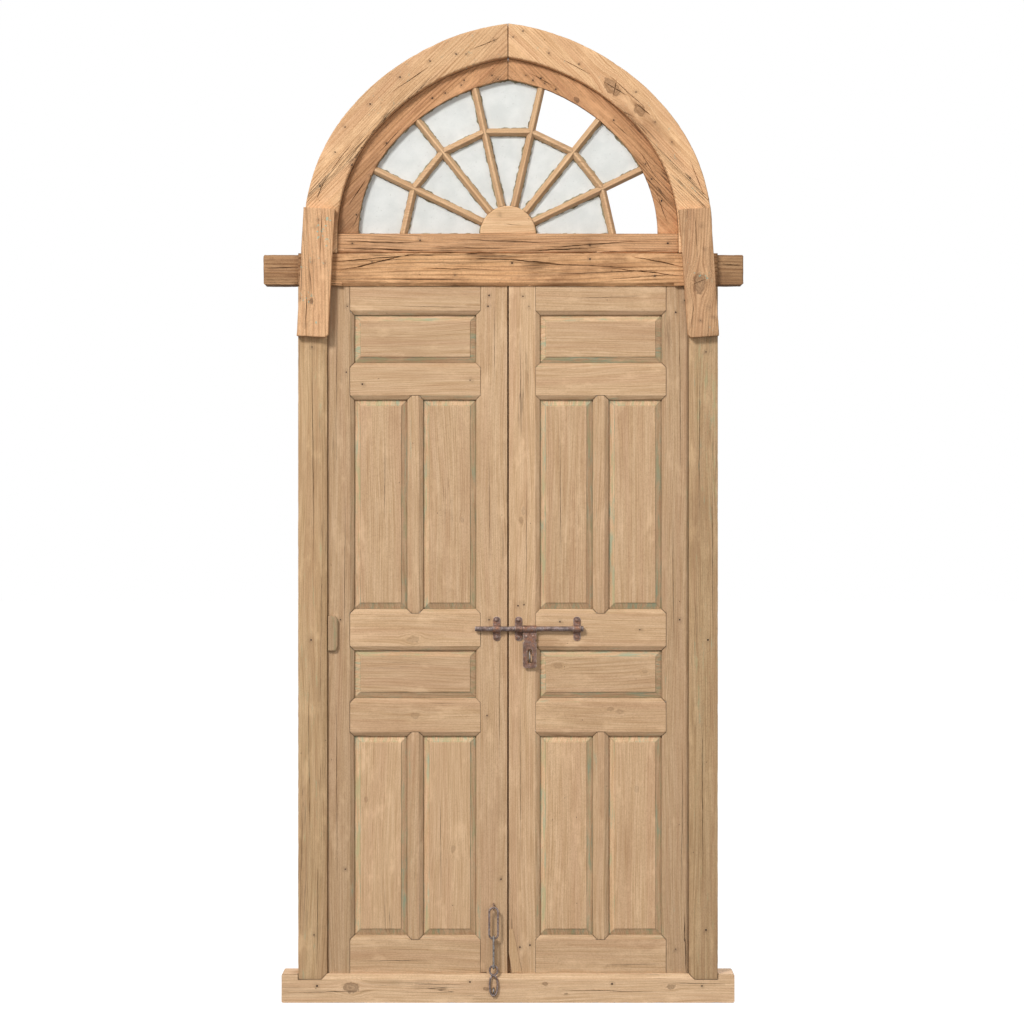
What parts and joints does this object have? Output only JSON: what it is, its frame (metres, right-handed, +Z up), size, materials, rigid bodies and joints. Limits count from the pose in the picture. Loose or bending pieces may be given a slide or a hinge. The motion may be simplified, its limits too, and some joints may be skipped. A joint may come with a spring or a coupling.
{
  "type": "antique panelled double door with frame and arched fanlight",
  "caption": "Old wooden double door in its frame: panelled leaves on turned pivots, a slide bolt with hasp, a chain, and a pointed-arch fanlight of radiating bars.",
  "frame": {"origin": "middle of the sill's underside, between the two posts and midway through the frame's depth", "axes": "+Z up; the outer side, with the bolt and chain, faces -Y; +X to the right seen from outside"},
  "size_m": [1.539, 0.14, 3.1366],
  "materials": {
    "leaf_wood": "bare weathered pine with traces of green paint",
    "frame_wood": "bare weathered pine",
    "arch_wood": "bare warm old wood with cracks",
    "glass": "frosted, dusty",
    "iron": "brown rusted wrought iron"
  },
  "bodies": {
    "frame": {"sill": "frame_wood", "left_post": "frame_wood", "right_post": "frame_wood", "transom_beam": "arch_wood", "fan_rail": "arch_wood", "left_arch": "arch_wood", "right_arch": "arch_wood", "left_lining": "arch_wood", "right_lining": "arch_wood", "left_board": "arch_wood", "right_board": "arch_wood", "fan_hub": "arch_wood", "radial_bar_1": "arch_wood", "radial_bar_2": "arch_wood", "radial_bar_3": "arch_wood", "radial_bar_4": "arch_wood", "radial_bar_5": "arch_wood", "radial_bar_6": "arch_wood", "ring_bars": "arch_wood", "inner_panes": "glass", "outer_panes": "glass", "sill_staple": "iron"},
    "left_leaf": {"left_hanging_stile": "leaf_wood", "left_meeting_stile": "leaf_wood", "left_top_rail": "leaf_wood", "left_frieze_rail": "leaf_wood", "left_lock_rail": "leaf_wood", "left_middle_rail": "leaf_wood", "left_bottom_rail": "leaf_wood", "left_upper_muntin": "leaf_wood", "left_lower_muntin": "leaf_wood", "left_top_panel": "leaf_wood", "left_upper_panels": "leaf_wood", "left_middle_panel": "leaf_wood", "left_lower_panels": "leaf_wood", "left_keeper": "iron", "chain_staple": "iron", "stop_block": "leaf_wood"},
    "right_leaf": {"right_hanging_stile": "leaf_wood", "right_meeting_stile": "leaf_wood", "right_top_rail": "leaf_wood", "right_frieze_rail": "leaf_wood", "right_lock_rail": "leaf_wood", "right_middle_rail": "leaf_wood", "right_bottom_rail": "leaf_wood", "right_upper_muntin": "leaf_wood", "right_lower_muntin": "leaf_wood", "right_top_panel": "leaf_wood", "right_upper_panels": "leaf_wood", "right_middle_panel": "leaf_wood", "right_lower_panels": "leaf_wood", "middle_keeper": "iron", "end_keeper": "iron", "hasp_staple": "iron", "repair_patch": "leaf_wood"},
    "bolt": {"bolt_rod": "iron"},
    "hasp": {"hasp": "iron"},
    "top_link": {"top_link": "iron"},
    "middle_link": {"middle_link": "iron"},
    "end_link": {"end_link": "iron"}
  },
  "joints": [
    {"name": "left_leaf_hinge", "type": "hinge", "parent": "frame", "child": "left_leaf", "pos_m": [-0.567, -0.018, 0.084], "axis": [0, 0, 1], "range_deg": [0, 90]},
    {"name": "right_leaf_hinge", "type": "hinge", "parent": "frame", "child": "right_leaf", "pos_m": [0.567, -0.018, 0.084], "axis": [0, 0, -1], "range_deg": [0, 90]},
    {"name": "bolt_slide", "type": "slide", "parent": "right_leaf", "child": "bolt", "axis": [1, 0, 0], "range_m": [0, 0.112]},
    {"name": "hasp_hinge", "type": "hinge", "parent": "right_leaf", "child": "hasp", "pos_m": [0.0695, -0.051, 1.197], "axis": [-1, 0, 0], "range_deg": [0, 120]},
    {"name": "top_link_swing", "type": "hinge", "parent": "left_leaf", "child": "top_link", "pos_m": [-0.046, -0.0625, 0.3055], "axis": [-1, 0, 0], "range_deg": [0, 75]},
    {"name": "middle_link_swing", "type": "hinge", "parent": "top_link", "child": "middle_link", "pos_m": [-0.046, -0.0625, 0.2065], "axis": [-1, 0, 0], "range_deg": [0, 60]},
    {"name": "end_link_swing", "type": "hinge", "parent": "middle_link", "child": "end_link", "pos_m": [-0.046, -0.0625, 0.1195], "axis": [-1, 0, 0], "range_deg": [0, 60]}
  ]
}
